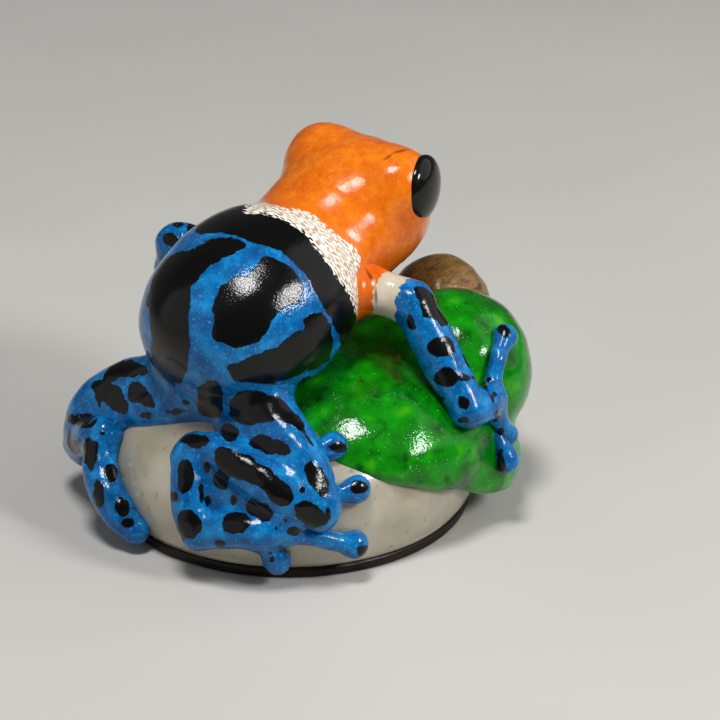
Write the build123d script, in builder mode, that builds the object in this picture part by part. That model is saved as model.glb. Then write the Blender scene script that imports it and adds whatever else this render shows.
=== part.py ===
from build123d import *
from math import atan2, copysign, cos, degrees, radians, sin, sqrt
import os

# Painted poison-dart frog carved from a palm nut, sitting on the lower half of the nut.
# Millimetres. The origin is the centre of the flat underside, +Z is up and the frog looks along -Y,
# so its right side is at -X. Every form is a separate solid that meets its neighbours face to face.
# Bearings are degrees round the nut from straight behind the frog (0) towards its right (90).

# The nut, an upright dome cut flat where its dark skin is left on
nut_width = 39.6
belly_height = 5.5
crown_rise = 11.7
skin_thickness = 1.2
skin_proud = 0.35
skin_edge = 0.4

# The leafy mound: a saddle under the frog, an upper block and a lower ledge on its right
saddle_width = 29.6
saddle_rise = 8.8
saddle_height = 9.2
saddle_right = 6.8
saddle_front = 3.4
block_width = 17.2
block_height = 12.9
block_right = 10.6
block_front = 12.5
ledge_width = 17.8
ledge_rise = 5.2
ledge_height = 8.0
ledge_right = 12.9
ledge_front = 9.0

# The stub of rough nut skin at the front, from inside the nut to its round end
knob_width = 10.8
knob_height = 17.8
knob_right = 4.7
knob_front = 18.4
knob_root_height = 9.0
knob_root_front = 10.0

# The frog's body, from the rump to the neck
body_width = 21.0
body_depth = 18.2
rump_reach = 14.0
rump_lift = 3.8
neck_reach = 3.0
neck_lift = 9.8
rump_rounding = 3.3

# The head, from the neck to the snout
head_width = 16.8
head_depth = 12.6
head_length = 12.5
head_climb = 5.0
brow_width = 7.0
brow_side = 5.4
brow_reach = 7.3
brow_climb = 6.6
eye_width = 6.4
eye_thickness = 3.2
eye_out = 2.1
eye_turn = 15
snout_rounding = 2.4

# The arms
shoulder_side = 5.4
shoulder_reach = 0.4
shoulder_drop = 1.8
elbow_side = 11.6
elbow_reach = 1.2
elbow_drop = 1.4
left_elbow_side = 15.3
left_elbow_back = 4.2
left_elbow_drop = 2.2
upper_arm_width = 5.6
forearm_width = 4.4
palm_width = 3.2
finger_width = 1.9
finger_pad = 2.3

# The legs
thigh_width = 5.7
shin_width = 4.4
instep_width = 3.9
toe_width = 2.0
toe_pad = 2.5

# How round a dome's shoulder is, against an oval's
shoulder_share = 1.15

# Body stations: how far from the rump to the neck, and width and depth
body_shares = (
    (-0.24, 0.44),
    (0.00, 0.76),
    (0.25, 0.95),
    (0.50, 1.00),
    (0.75, 0.93),
    (1.00, 0.725),
)
# Head stations: along from neck to snout, climb, width and depth
head_shares = (
    (0.00, 0.00, 0.905, 1.048),
    (0.28, 0.34, 0.95, 1.00),
    (0.56, 0.72, 0.98, 1.00),
    (0.84, 0.86, 0.88, 0.85),
    (1.12, 0.86, 0.66, 0.64),
)
# Limb stations on a dome: bearing, height above or below its widest line as a share of its rise,
# height of the limb's middle off the dome as a share of its radius, and width
right_thigh_shares = (
    (-12, 0.86, 0.40, 1.00),
    (8, 0.83, 0.50, 1.00),
    (25, 0.79, 0.55, 0.97),
    (39, 0.69, 0.60, 0.93),
    (47, 0.53, 0.60, 0.87),
    (51, 0.32, 0.60, 0.74),
)
right_shin_shares = (
    (51, 0.21, 0.75, 0.86),
    (43, 0.32, 0.80, 1.02),
    (33, 0.44, 0.80, 1.02),
    (21, 0.53, 0.80, 0.93),
    (11, 0.54, 0.80, 0.77),
)
right_instep_shares = (
    (9, 0.47, 0.80, 0.87),
    (12, 0.33, 0.75, 0.92),
    (14, 0.16, 0.70, 0.92),
    (17, 0.00, 0.70, 0.82),
)
right_sole_shares = (
    (17, 0.00, 0.70, 0.76),
    (25, 0.06, 0.70, 0.97),
    (33, 0.09, 0.70, 1.00),
    (41, 0.10, 0.70, 0.87),
)
left_thigh_shares = (
    (-8, 0.86, 0.30, 1.00),
    (-25, 0.80, 0.30, 0.98),
    (-38, 0.68, 0.35, 0.95),
    (-45, 0.50, 0.40, 0.91),
    (-48, 0.27, 0.50, 0.88),
    (-50, 0.05, 0.50, 0.80),
)
left_shin_shares = (
    (-50, 0.00, 0.75, 0.86),
    (-42, 0.14, 0.80, 0.95),
    (-35, 0.26, 0.80, 0.91),
    (-30, 0.33, 0.80, 0.77),
)
left_instep_shares = (
    (-31, 0.30, 0.80, 0.82),
    (-26, 0.15, 0.80, 0.95),
    (-20, 0.00, 0.75, 1.00),
    (-14, -0.14, 0.70, 0.90),
    (-9, -0.24, 0.70, 0.77),
)
# The palm, from the wrist on
right_palm_shares = ((96, 0.52, 0.80, 0.95), (105, 0.48, 0.80, 1.08), (113, 0.46, 0.80, 1.00))
left_palm_shares = ((-93, 0.47, 0.75, 0.95), (-99, 0.41, 0.75, 1.10), (-105, 0.36, 0.75, 1.00))
# Three places along each finger or toe: bearing, level, and stand-off as a share of its half width
right_upper_finger_shares = ((68, 0.23, 0.90), (76, 0.47, 0.80), (92, 0.64, 0.70))
right_middle_finger_shares = ((110, 0.45, 0.90), (115, 0.22, 0.80), (118, 0.06, 0.70))
right_lower_finger_shares = ((86, 0.66, 0.90), (82, 0.40, 0.80), (80, 0.10, 0.70))
left_finger_shares = (
    ((-103, 0.38, 0.90), (-113, 0.45, 0.80), (-123, 0.48, 0.70)),
    ((-104, 0.35, 0.90), (-112, 0.22, 0.80), (-118, 0.11, 0.70)),
    ((-98, 0.41, 0.90), (-100, 0.22, 0.80), (-102, 0.05, 0.70)),
)
right_toe_shares = (
    ((31, 0.07, 1.00), (36, -0.09, 0.80), (39, -0.22, 0.70)),
    ((40, 0.10, 1.00), (51, 0.00, 0.80), (61, -0.10, 0.70)),
    ((48, 0.28, 1.00), (57, 0.32, 0.80), (63, 0.34, 0.70)),
    ((46, 0.53, 1.00), (54, 0.59, 0.80), (59, 0.61, 0.70)),
)
left_toe_shares = (
    ((-15, -0.11, 1.00), (-25, -0.20, 0.80), (-33, -0.26, 0.70)),
    ((-21, -0.01, 1.00), (-31, -0.10, 0.80), (-39, -0.17, 0.70)),
    ((-48, 0.02, 0.60), (-60, 0.06, 0.70), (-67, 0.08, 0.70)),
    ((-46, 0.30, 0.60), (-58, 0.36, 0.70), (-64, 0.38, 0.70)),
)
# Forearm: how far down from elbow to wrist, and width
forearm_shares = ((0.00, 0.80), (0.28, 0.98), (0.55, 1.00), (0.80, 0.94), (1.00, 0.82))
upper_arm_shares = ((0.00, 1.00), (0.55, 0.86), (1.00, 0.74))

nut_radius = nut_width / 2
crown_height = belly_height + crown_rise
nut = (Vector(0, 0, belly_height), nut_radius, crown_rise)
saddle = (Vector(-saddle_right, -saddle_front, saddle_height), saddle_width / 2, saddle_rise)
block = (Vector(-block_right, -block_front, block_height), block_width / 2, block_width / 2)
ledge = (Vector(-ledge_right, -ledge_front, ledge_height), ledge_width / 2, ledge_rise)
knob_points = [
    Vector(0, -knob_root_front, knob_root_height),
    Vector(-knob_right, -knob_front, knob_height),
]
neck = Vector(0, -neck_reach, crown_height + neck_lift)
sideways = Vector(1, 0, 0)
backward = Vector(0, 1, 0)
upward = Vector(0, 0, 1)
# The outline of each dome starts on this side, where no other form crosses it
seam_side = (sideways - backward * 2).normalized()


def shoulder_and_crown(radius, rise):
    """Work out the two arcs of a dome's outline: the radius of its shoulder and that of its crown."""
    shoulder = shoulder_share * rise**2 / radius
    inset = radius - shoulder
    return shoulder, (rise**2 + inset**2 - shoulder**2) / (2 * (rise - shoulder))


def spheroid(centre, axis_way, side, rise, radius):
    """Make a squat ball: two crowns and a shoulder, as tangent arcs, turned round its axis."""
    shoulder, crown = shoulder_and_crown(radius, rise)
    inset = radius - shoulder
    slant = degrees(atan2(crown - rise, inset))
    with BuildSketch(Plane(origin=centre, x_dir=side, z_dir=side.cross(axis_way))) as half:
        with BuildLine() as outline:
            CenterArc((0, crown - rise), crown, -90, 90 - slant)
            CenterArc((inset, 0), shoulder, -slant, 2 * slant)
            CenterArc((0, rise - crown), crown, slant, 90 - slant)
            Line((0, rise), (0, -rise))
        make_face()
    return revolve(half.sketch, axis=Axis(centre, axis_way), mode=Mode.PRIVATE)


def dome_form(dome):
    """Make a squat dome together with its mirrored underside."""
    centre, radius, rise = dome
    return spheroid(centre, upward, seam_side, rise, radius)


def ball_form(centre, width):
    """Make a ball with its seam on the side that no other form crosses."""
    return Plane(origin=centre, x_dir=seam_side, z_dir=upward) * Sphere(width / 2, mode=Mode.PRIVATE)


def on_dome(dome, bearing, level_share, proud):
    """Place a point off a dome, at a bearing and a share of its rise, standing proud of its skin."""
    centre, radius, rise = dome
    shoulder, crown = shoulder_and_crown(radius, rise)
    inset = radius - shoulder
    level = level_share * rise
    arc_centre, arc_radius = Vector(0, 0, copysign(crown - rise, -level)), crown
    if abs(level) < shoulder * (crown - rise) / (crown - shoulder):
        arc_centre, arc_radius = Vector(inset, 0, 0), shoulder
    slope = (level - arc_centre.Z) / arc_radius
    reach = arc_centre.X + (arc_radius + proud) * sqrt(1 - slope**2)
    turn = radians(bearing)
    return centre + Vector(-reach * sin(turn), reach * cos(turn), level + slope * proud)


def course_on_dome(dome, rows, width):
    """Turn rows of bearing, level, stand-off and width into a limb's points, radii and side."""
    radii = [width * width_share / 2 for *_, width_share in rows]
    points = [
        on_dome(dome, bearing, level_share, proud_share * radius)
        for (bearing, level_share, proud_share, _), radius in zip(rows, radii)
    ]
    return points, radii, points[len(points) // 2] - dome[0]


def course_between(start, end, rows, width):
    """Turn rows of how far along and width into a straight limb's points, radii and side."""
    points = [start + (end - start) * along_share for along_share, _ in rows]
    return points, [width * width_share / 2 for _, width_share in rows], backward


def ways_along(points):
    """Give the direction of a line of points at each of them."""
    return [after - before for before, after in zip([points[0], *points], [*points[1:], points[-1]])]


def oval(point, way, half_width, half_depth):
    """Make an oval section square to a way, with its width from side to side."""
    with BuildSketch(Plane(origin=point, x_dir=sideways, z_dir=way)) as section:
        Ellipse(half_width, half_depth)
    return section.sketch.face()


def disc(point, way, radius, side):
    """Make a round section square to a way, with its seam on a side."""
    with BuildSketch(Plane(origin=point, x_dir=side, z_dir=way)) as section:
        Circle(radius)
    return section.sketch.face()


def round_end(point, way, radius, side):
    """Make the half ball that rounds off a limb's end."""
    return Plane(origin=point, x_dir=side, z_dir=way) * Sphere(radius, arc_size1=0, mode=Mode.PRIVATE)


def limb(points, radii, side):
    """Make a round limb along a line of points, flat where it starts inside another, round where it ends."""
    ways = ways_along(points)
    sections = [disc(*station, side) for station in zip(points, ways, radii)]
    return loft(sections, mode=Mode.PRIVATE) + round_end(points[-1], ways[-1], radii[-1], side)


def bent_limb(points, radii, side):
    """Make a round limb that starts with a bare bend, round at both ends."""
    return limb(points, radii, side) + round_end(points[0], points[0] - points[1], radii[0], side)


def digit(dome, rows, width, pad_width):
    """Make a finger or toe bent over a dome: a tube along an arc, and the ball of its pad."""
    points = [
        on_dome(dome, bearing, level_share, proud_share * width / 2)
        for bearing, level_share, proud_share in rows
    ]
    side = points[1] - dome[0]
    bend = ThreePointArc(*points)
    start = disc(points[0], bend % 0, width / 2, side)
    pad = Plane(origin=points[-1], x_dir=side, z_dir=bend % 1) * Sphere(pad_width / 2)
    return [sweep(start, path=bend), pad]


def cut_back(*neighbours):
    """Cut away what the piece would share with larger neighbours, so that it meets them face to face."""
    for neighbour in neighbours:
        add(neighbour, mode=Mode.SUBTRACT)


os.makedirs("parts", exist_ok=True)

# Nut: dark skin under a bare dome
skin_level_share = (skin_thickness - belly_height) / crown_rise
skin_radius = nut_radius * sqrt(1 - skin_level_share**2) + skin_proud
with BuildPart() as nut_skin:
    with BuildSketch():
        Circle(skin_radius)
    extrude(amount=skin_thickness)
    fillet(nut_skin.edges().filter_by(GeomType.CIRCLE), radius=skin_edge)
nut_skin.part.label = "nut_skin"
export_step(nut_skin.part, "parts/nut_skin.step")

nut_form = dome_form(nut)
with BuildPart() as nut_base:
    add(nut_form)
    split(bisect_by=Plane.XY.offset(skin_thickness), keep=Keep.TOP)
nut_base.part.label = "nut_base"
export_step(nut_base.part, "parts/nut_base.step")

# Leafy mound, carved over the nut
mound_forms = [dome_form(saddle), ball_form(block[0], block_width), dome_form(ledge)]
with BuildPart() as leaf_mound:
    for mound_form in mound_forms:
        add(mound_form)
    cut_back(nut_form)
leaf_mound.part.label = "leaf_mound"
export_step(leaf_mound.part, "parts/leaf_mound.step")

# Knob of rough skin at the front
with BuildPart() as skin_knob:
    add(limb(knob_points, [knob_width / 2, knob_width / 2], seam_side))
    cut_back(nut_form, *mound_forms)
skin_knob.part.label = "skin_knob"
export_step(skin_knob.part, "parts/skin_knob.step")

# Torso, from the rounded rump to the flat plane of the neck, sunk over the crown and the mound
rump = Vector(0, rump_reach, crown_height + rump_lift)
spine_way = (neck - rump).normalized()
spine_length = (neck - rump).length
torso_sections = [
    oval(rump + spine_way * spine_length * along_share, spine_way, body_width * share / 2, body_depth * share / 2)
    for along_share, share in body_shares
]
with BuildPart() as torso_form:
    loft(torso_sections)
    fillet(torso_form.faces().sort_by(Axis.Y)[-1].edges(), radius=rump_rounding)
with BuildPart() as torso:
    add(torso_form.part)
    cut_back(nut_form, *mound_forms)
torso.part.label = "torso"
export_step(torso.part, "parts/torso.step")

# Head, on the same plane of the neck, with a swelling over each eye
brow_centres = [neck + Vector(side * brow_side, -brow_reach, brow_climb) for side in (-1, 1)]
eye_ways = [Vector(side * cos(radians(eye_turn)), -sin(radians(eye_turn)), 0) for side in (-1, 1)]
head_points = [
    neck + Vector(0, -head_length * along_share, head_climb * climb_share)
    for along_share, climb_share, _, _ in head_shares
]
head_ways = [spine_way, *ways_along(head_points)[1:]]
head_sections = [
    oval(point, way, head_width * width_share / 2, head_depth * depth_share / 2)
    for point, way, (_, _, width_share, depth_share) in zip(head_points, head_ways, head_shares)
]
with BuildPart() as head:
    loft(head_sections)
    fillet(head.faces().sort_by(Axis.Y)[0].edges(), radius=snout_rounding)
    for brow_centre in brow_centres:
        add(ball_form(brow_centre, brow_width))
head.part.label = "head"
export_step(head.part, "parts/head.step")

# Eyes, flat beads set in the swellings
right_eye_form, left_eye_form = [
    spheroid(brow_centre + eye_way * eye_out, eye_way, upward, eye_thickness / 2, eye_width / 2)
    for brow_centre, eye_way in zip(brow_centres, eye_ways)
]
with BuildPart() as right_eye:
    add(right_eye_form)
    cut_back(head.part)
right_eye.part.label = "right_eye"
export_step(right_eye.part, "parts/right_eye.step")

with BuildPart() as left_eye:
    add(left_eye_form)
    cut_back(head.part)
left_eye.part.label = "left_eye"
export_step(left_eye.part, "parts/left_eye.step")

# Right arm: shoulder to elbow, elbow to wrist, then the hand spread on the mound
right_shoulder = neck + Vector(-shoulder_side, shoulder_reach, -shoulder_drop)
right_elbow = neck + Vector(-elbow_side, -elbow_reach, -elbow_drop)
right_palm_course = course_on_dome(saddle, right_palm_shares, palm_width)
right_wrist = right_palm_course[0][0]
right_upper_arm_form = limb(*course_between(right_shoulder, right_elbow, upper_arm_shares, upper_arm_width))
right_forearm_form = limb(*course_between(right_elbow, right_wrist, forearm_shares, forearm_width))
with BuildPart() as right_upper_arm:
    add(right_upper_arm_form)
    cut_back(torso_form.part, head.part)
right_upper_arm.part.label = "right_upper_arm"
export_step(right_upper_arm.part, "parts/right_upper_arm.step")

with BuildPart() as right_forearm:
    add(right_forearm_form)
    cut_back(right_upper_arm_form, *mound_forms)
right_forearm.part.label = "right_forearm"
export_step(right_forearm.part, "parts/right_forearm.step")

right_finger_forms = [
    *digit(block, right_upper_finger_shares, finger_width, finger_pad),
    *digit(saddle, right_middle_finger_shares, finger_width, finger_pad),
    *digit(ledge, right_lower_finger_shares, finger_width, finger_pad),
]
with BuildPart() as right_hand:
    add(limb(*right_palm_course))
    for right_finger_form in right_finger_forms:
        add(right_finger_form)
    cut_back(right_forearm_form, *mound_forms)
right_hand.part.label = "right_hand"
export_step(right_hand.part, "parts/right_hand.step")

# Left arm: the elbow is raised beside the back and the hand lies on the nut
left_shoulder = neck + Vector(shoulder_side, shoulder_reach, -shoulder_drop)
left_elbow = neck + Vector(left_elbow_side, left_elbow_back, -left_elbow_drop)
left_palm_course = course_on_dome(nut, left_palm_shares, palm_width)
left_wrist = left_palm_course[0][0]
left_upper_arm_form = limb(*course_between(left_shoulder, left_elbow, upper_arm_shares, upper_arm_width))
left_forearm_form = limb(*course_between(left_elbow, left_wrist, forearm_shares, forearm_width))
with BuildPart() as left_upper_arm:
    add(left_upper_arm_form)
    cut_back(torso_form.part, head.part)
left_upper_arm.part.label = "left_upper_arm"
export_step(left_upper_arm.part, "parts/left_upper_arm.step")

with BuildPart() as left_forearm:
    add(left_forearm_form)
    cut_back(left_upper_arm_form, nut_form)
left_forearm.part.label = "left_forearm"
export_step(left_forearm.part, "parts/left_forearm.step")

left_finger_forms = [
    form for finger_shares in left_finger_shares for form in digit(nut, finger_shares, finger_width, finger_pad)
]
with BuildPart() as left_hand:
    add(limb(*left_palm_course))
    for left_finger_form in left_finger_forms:
        add(left_finger_form)
    cut_back(left_forearm_form, nut_form)
left_hand.part.label = "left_hand"
export_step(left_hand.part, "parts/left_hand.step")

# Right leg: the thigh wraps forward round the nut, the shin folds back over it to the heel,
# and the instep drops to a foot with four spread toes
right_thigh_form = limb(*course_on_dome(nut, right_thigh_shares, thigh_width))
right_shin_form = bent_limb(*course_on_dome(nut, right_shin_shares, shin_width))
with BuildPart() as right_thigh:
    add(right_thigh_form)
    cut_back(torso_form.part, nut_form, *mound_forms)
right_thigh.part.label = "right_thigh"
export_step(right_thigh.part, "parts/right_thigh.step")

with BuildPart() as right_shin:
    add(right_shin_form)
    cut_back(right_thigh_form, nut_form)
right_shin.part.label = "right_shin"
export_step(right_shin.part, "parts/right_shin.step")

right_toe_forms = [
    form for toe_shares in right_toe_shares for form in digit(nut, toe_shares, toe_width, toe_pad)
]
with BuildPart() as right_foot:
    add(bent_limb(*course_on_dome(nut, right_instep_shares, instep_width)))
    add(limb(*course_on_dome(nut, right_sole_shares, instep_width)))
    for right_toe_form in right_toe_forms:
        add(right_toe_form)
    cut_back(right_shin_form, right_thigh_form, nut_form, *mound_forms)
right_foot.part.label = "right_foot"
export_step(right_foot.part, "parts/right_foot.step")

# Left leg: the knee stands off the nut and the instep slants back under the tail
left_thigh_form = limb(*course_on_dome(nut, left_thigh_shares, thigh_width))
left_shin_form = bent_limb(*course_on_dome(nut, left_shin_shares, shin_width))
with BuildPart() as left_thigh:
    add(left_thigh_form)
    cut_back(torso_form.part, right_thigh_form, nut_form)
left_thigh.part.label = "left_thigh"
export_step(left_thigh.part, "parts/left_thigh.step")

with BuildPart() as left_shin:
    add(left_shin_form)
    cut_back(left_thigh_form, nut_form)
left_shin.part.label = "left_shin"
export_step(left_shin.part, "parts/left_shin.step")

left_toe_forms = [
    form for toe_shares in left_toe_shares for form in digit(nut, toe_shares, toe_width, toe_pad)
]
with BuildPart() as left_foot:
    add(bent_limb(*course_on_dome(nut, left_instep_shares, instep_width)))
    for left_toe_form in left_toe_forms:
        add(left_toe_form)
    cut_back(left_shin_form, left_thigh_form, nut_form)
left_foot.part.label = "left_foot"
export_step(left_foot.part, "parts/left_foot.step")
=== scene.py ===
from math import asin, cos, pi, radians, sin, sqrt

import bpy
import numpy as np
from mathutils import Matrix, Vector


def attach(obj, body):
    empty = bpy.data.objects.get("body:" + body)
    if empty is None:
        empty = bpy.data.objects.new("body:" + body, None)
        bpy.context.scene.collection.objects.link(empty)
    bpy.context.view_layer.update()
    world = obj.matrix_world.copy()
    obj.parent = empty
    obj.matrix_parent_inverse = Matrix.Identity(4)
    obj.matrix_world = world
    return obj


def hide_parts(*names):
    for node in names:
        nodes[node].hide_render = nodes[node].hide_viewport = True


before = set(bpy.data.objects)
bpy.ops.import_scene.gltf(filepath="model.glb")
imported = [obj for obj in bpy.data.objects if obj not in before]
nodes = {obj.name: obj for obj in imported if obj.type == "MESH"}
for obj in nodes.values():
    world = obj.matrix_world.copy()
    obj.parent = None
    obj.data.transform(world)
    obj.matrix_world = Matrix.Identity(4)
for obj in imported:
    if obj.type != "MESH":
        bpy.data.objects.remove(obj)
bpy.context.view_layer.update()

# Nut skin: the thin dark skin of a palm nut, left on under the carving where the nut was sanded flat to
# stand. Its near-black is partly its own tone and partly painted shade under the rim. The varnish of the
# rest was rubbed over it, so it has a dull gleam.

mm = 0.001


def colour(hex_code):
    """Turn an sRGB hex code into linear values with an alpha of one."""
    parts = [int(hex_code[i : i + 2], 16) / 255 for i in (1, 3, 5)]
    return tuple(((c + 0.055) / 1.055) ** 2.4 if c > 0.04045 else c / 12.92 for c in parts) + (1.0,)


def add_node(tree, kind, inputs, output=0):
    """Add a shader node with its settings and links, and give one of its outputs.

    An input is a property by its own name, or a socket by its name or number, which takes a link, a hex
    colour or a plain value. A colour ramp's stops are pairs of a place and a hex colour or a grey."""
    node = tree.nodes.new("ShaderNode" + kind)
    for name, value in inputs.items():
        if name == "stops":
            elements = node.color_ramp.elements
            while len(elements) < len(value):
                elements.new(0.5)
            for element, (place, shade) in zip(elements, value):
                element.position = place
                element.color = colour(shade) if isinstance(shade, str) else (shade, shade, shade, 1.0)
        elif isinstance(value, bpy.types.NodeSocket):
            tree.links.new(value, node.inputs[name])
        elif isinstance(name, str) and hasattr(node, name):
            setattr(node, name, value)
        else:
            node.inputs[name].default_value = colour(value) if isinstance(value, str) else value
    return node.outputs[output] if node.outputs else None


def make_material(name, finish, paint, relief=0.0):
    """Make a material from its shader's finish and a paint, which gives the colour and, for a relief, a
    height, of which one stands for that many millimetres. The relief shows in the varnish too."""
    material = bpy.data.materials.new(name)
    material.use_nodes = True
    tree = material.node_tree
    tree.nodes.clear()
    tone, height = paint(tree, add_node(tree, "TexCoord", {}, "Object"))
    surface = {**finish, "Base Color": tone}
    if relief:
        bump = add_node(tree, "Bump", {"Strength": 1.0, "Distance": relief * mm, "Height": height})
        surface |= {"Normal": bump, "Coat Normal": bump}
    add_node(tree, "OutputMaterial", {"Surface": add_node(tree, "BsdfPrincipled", surface)})
    return material


def skin_fibres(tree, where):
    """Streak the skin with brown-black fibres, which show as a faint grain in the rim. The tones are kept
    near black, partly as painted shade.
    """
    fibre_width = 0.35 * mm
    noise = {"Scale": 1 / fibre_width, "Detail": 3.0, "Roughness": 0.7}
    fibres = add_node(tree, "TexNoise", {**noise, "Vector": where})
    return add_node(tree, "ValToRGB", {"stops": ((0.3, "#0B0705"), (0.7, "#20160F")), "Fac": fibres}), fibres


skin_finish = {"Roughness": 0.5, "Specular IOR Level": 0.1, "Coat Weight": 0.3, "Coat Roughness": 0.3}
nut_skin_slots = nodes["nut_skin"].data.materials
nut_skin_slots.clear()
nut_skin_slots.append(make_material("varnished_nut_skin", skin_finish, skin_fibres, 0.02))

# Bare nut: the hard cream flesh of the palm nut, turned and sanded to a low dome and left unpainted
# where the frog's legs and the mound don't cover it. It lets a little light in, like ivory.

nut_radius = 19.8
belly_height = 5.5
crown_rise = 11.7
skin_top = 1.2
dome_shoulder_share = 1.15
nut_dome = ((0, 0, belly_height), nut_radius, crown_rise)
smooth_foot = 0.5
nut_rings, nut_spokes = 120, 300
nut_ripple = (13.0, 0.12, 0.0)


def dome_arcs(radius, rise):
    """Work out the two tangent arcs of a dome's outline: shoulder radius, its inset, crown radius."""
    shoulder = dome_shoulder_share * rise**2 / radius
    inset = radius - shoulder
    return shoulder, inset, (rise**2 + inset**2 - shoulder**2) / (2 * (rise - shoulder))


def on_dome(dome, bearing, level_share, proud):
    """Give points off a dome at bearings and shares of its rise, standing proud along its normal.

    Below the place where the arcs meet, the outline is the shoulder's circle round (inset, 0), and above
    it the crown's circle round (0, rise - crown). The bearing turns the outline round the dome's axis."""
    centre, radius, rise = dome
    shoulder, inset, crown = dome_arcs(radius, rise)
    level = np.asarray(level_share, float) * rise
    low = np.abs(level) < shoulder * (crown - rise) / (crown - shoulder)
    arc_x = np.where(low, inset, 0.0)
    arc_z = np.where(low, 0.0, np.copysign(crown - rise, -level))
    arc_radius = np.where(low, shoulder, crown)
    slope = (level - arc_z) / arc_radius
    reach = arc_x + (arc_radius + proud) * np.sqrt(np.maximum(1 - slope**2, 0))
    turn = np.radians(bearing)
    height = level + slope * proud + 0 * reach * turn
    return np.asarray(centre, float) + np.stack([-reach * np.sin(turn), reach * np.cos(turn), height], -1)


def outward(grid):
    """Give the unit normals of a grid of points, from the cross product of its two directions."""
    along = np.gradient(grid, axis=0)
    round_way = np.roll(grid, -1, 1) - np.roll(grid, 1, 1)
    normal = np.cross(round_way, along)
    return normal / np.maximum(np.linalg.norm(normal, axis=-1, keepdims=True), 1e-9)


def ripple(points, size, depth, phase):
    """Give a slow hand-made unevenness: products of sines of the places along three slanted ways."""
    slants = ((0.8, 0.5, 0.33), (-0.45, 0.75, 0.5), (0.3, -0.4, 0.87))
    shifts = (phase, 2.1 * phase, 1.7 + phase)
    a, b, c = (points @ np.array(way) * (2 * pi / size) + shift for way, shift in zip(slants, shifts))
    return depth * (np.sin(a) * np.sin(b) + 0.5 * np.sin(1.9 * c) * np.sin(1.3 * a))


def rippled(grid, size, depth, phase, share=1.0):
    """Move a skin in and out along its normals by a ripple, all but its poles."""
    step = np.zeros(grid.shape[:-1])
    step[1:-1] = ripple(grid[1:-1], size, depth, phase) * share
    return grid + outward(grid) * step[..., None]


def make_piece(name, material, grids, attributes=None):
    """Make a piece of closed skins. A grid's first and last rows are each one place, its pole, and its
    columns run round once. Attributes hold a number for each grid point."""
    places, faces, values, first = [], [], {key: [] for key in attributes or {}}, 0
    for index, grid in enumerate(grids):
        rows, spokes = grid.shape[:2]
        ring = np.arange((rows - 2) * spokes).reshape(rows - 2, spokes) + first + 1
        across = np.roll(ring, -1, 1)
        last = first + 1 + ring.size
        places.append(np.concatenate([grid[:1, 0], grid[1:-1].reshape(-1, 3), grid[-1:, 0]]))
        faces += np.stack([ring[:-1], across[:-1], across[1:], ring[1:]], -1).reshape(-1, 4).tolist()
        faces += [[first, b, a] for a, b in zip(ring[0], across[0])]
        faces += [[last, a, b] for a, b in zip(ring[-1], across[-1])]
        for key, value in values.items():
            numbers = attributes[key][index]
            value.append(np.concatenate([numbers[:1, 0], numbers[1:-1].ravel(), numbers[-1:, 0]]))
        first = last + 1
    mesh = bpy.data.meshes.new(name)
    mesh.from_pydata((np.concatenate(places) * mm).tolist(), [], faces)
    for key, value in values.items():
        mesh.attributes.new(key, "FLOAT", "POINT").data.foreach_set("value", np.concatenate(value))
    mesh.shade_smooth()
    mesh.materials.append(material)
    piece = bpy.data.objects.new(name, mesh)
    bpy.context.scene.collection.objects.link(piece)
    return piece


def nut_grid():
    """Give the nut's skin: the dome's outline, turned round its axis, from the foot to the crown."""
    foot_share = (skin_top - belly_height) / crown_rise
    lift = np.sin(np.linspace(asin(foot_share), pi / 2, nut_rings - 1))
    bearing = np.linspace(360, 0, nut_spokes, endpoint=False)
    floor = np.zeros((1, nut_spokes, 3))
    floor[..., 2] = skin_top
    return np.concatenate([floor, on_dome(nut_dome, bearing[None, :], lift[:, None], 0.0)])


def vegetable_ivory(tree, where):
    """Cloud the cream flesh softly, with a fine grain and a few darker pores. It lets some light in, so
    that it looks warm and waxy."""
    cloud_width, grain_width, pore_spacing = 6 * mm, 0.5 * mm, 0.9 * mm
    clouds = add_node(tree, "TexNoise", {"Scale": 1 / cloud_width, "Detail": 4.0, "Vector": where})
    creams = ((0.3, "#9A937F"), (0.55, "#B2AB97"), (0.75, "#C3BDAB"))
    cream = add_node(tree, "ValToRGB", {"stops": creams, "Fac": clouds})
    spots = add_node(tree, "TexNoise", {"Scale": 1 / pore_spacing, "Detail": 1.0, "Vector": where})
    pores = add_node(tree, "ValToRGB", {"stops": ((0.27, 0.55), (0.33, 1.0)), "Fac": spots})
    shade = {"data_type": "RGBA", "blend_type": "MULTIPLY", 0: 0.6}
    grain = add_node(tree, "TexNoise", {"Scale": 1 / grain_width, "Vector": where})
    return add_node(tree, "Mix", {**shade, 6: cream, 7: pores}, 2), grain


ivory_finish = {
    "Roughness": 0.3, "IOR": 1.53, "Coat Weight": 0.8, "Coat Roughness": 0.06,
    "Subsurface Weight": 0.35, "Subsurface Radius": (1.0, 0.72, 0.45), "Subsurface Scale": 1.2 * mm,
}
ivory = make_material("varnished_vegetable_ivory", ivory_finish, vegetable_ivory, 0.008)
nut = nut_grid()
nut = rippled(nut, *nut_ripple, nut[1:-1, :, 2] > skin_top + smooth_foot)
bare_nut = make_piece("bare_nut", ivory, [nut])
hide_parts("nut_base")
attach(bare_nut, "root")

# Leafy mound: the part of the nut that was carved into a soft heap of leaves at the frog's right and
# front, a saddle with an upper lobe and a ledge below it, then dabbed with greens and varnished.

saddle = ((-6.8, -3.4, 9.2), 14.8, 8.8)
block = ((-11.0, -12.9, 13.5), 8.6, 8.6)
ledge = ((-12.6, -8.9, 5.6), 8.8, 6.3)
spur = ((-4.9, -9.4, 15.0), 4.3, 4.3)
mound_core = np.array([-10.0, -8.5, 10.0])
mound_reach = 24.0
lobe_blend = 1.6
spur_blend = 4.0
mound_foot = (7.52, 0.027, 0.416)
foot_rounding = 1.8
mound_rings, mound_spokes = 210, 320
mound_ripple = (9.5, 0.12, 0.6)
march_share = 0.8


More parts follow.
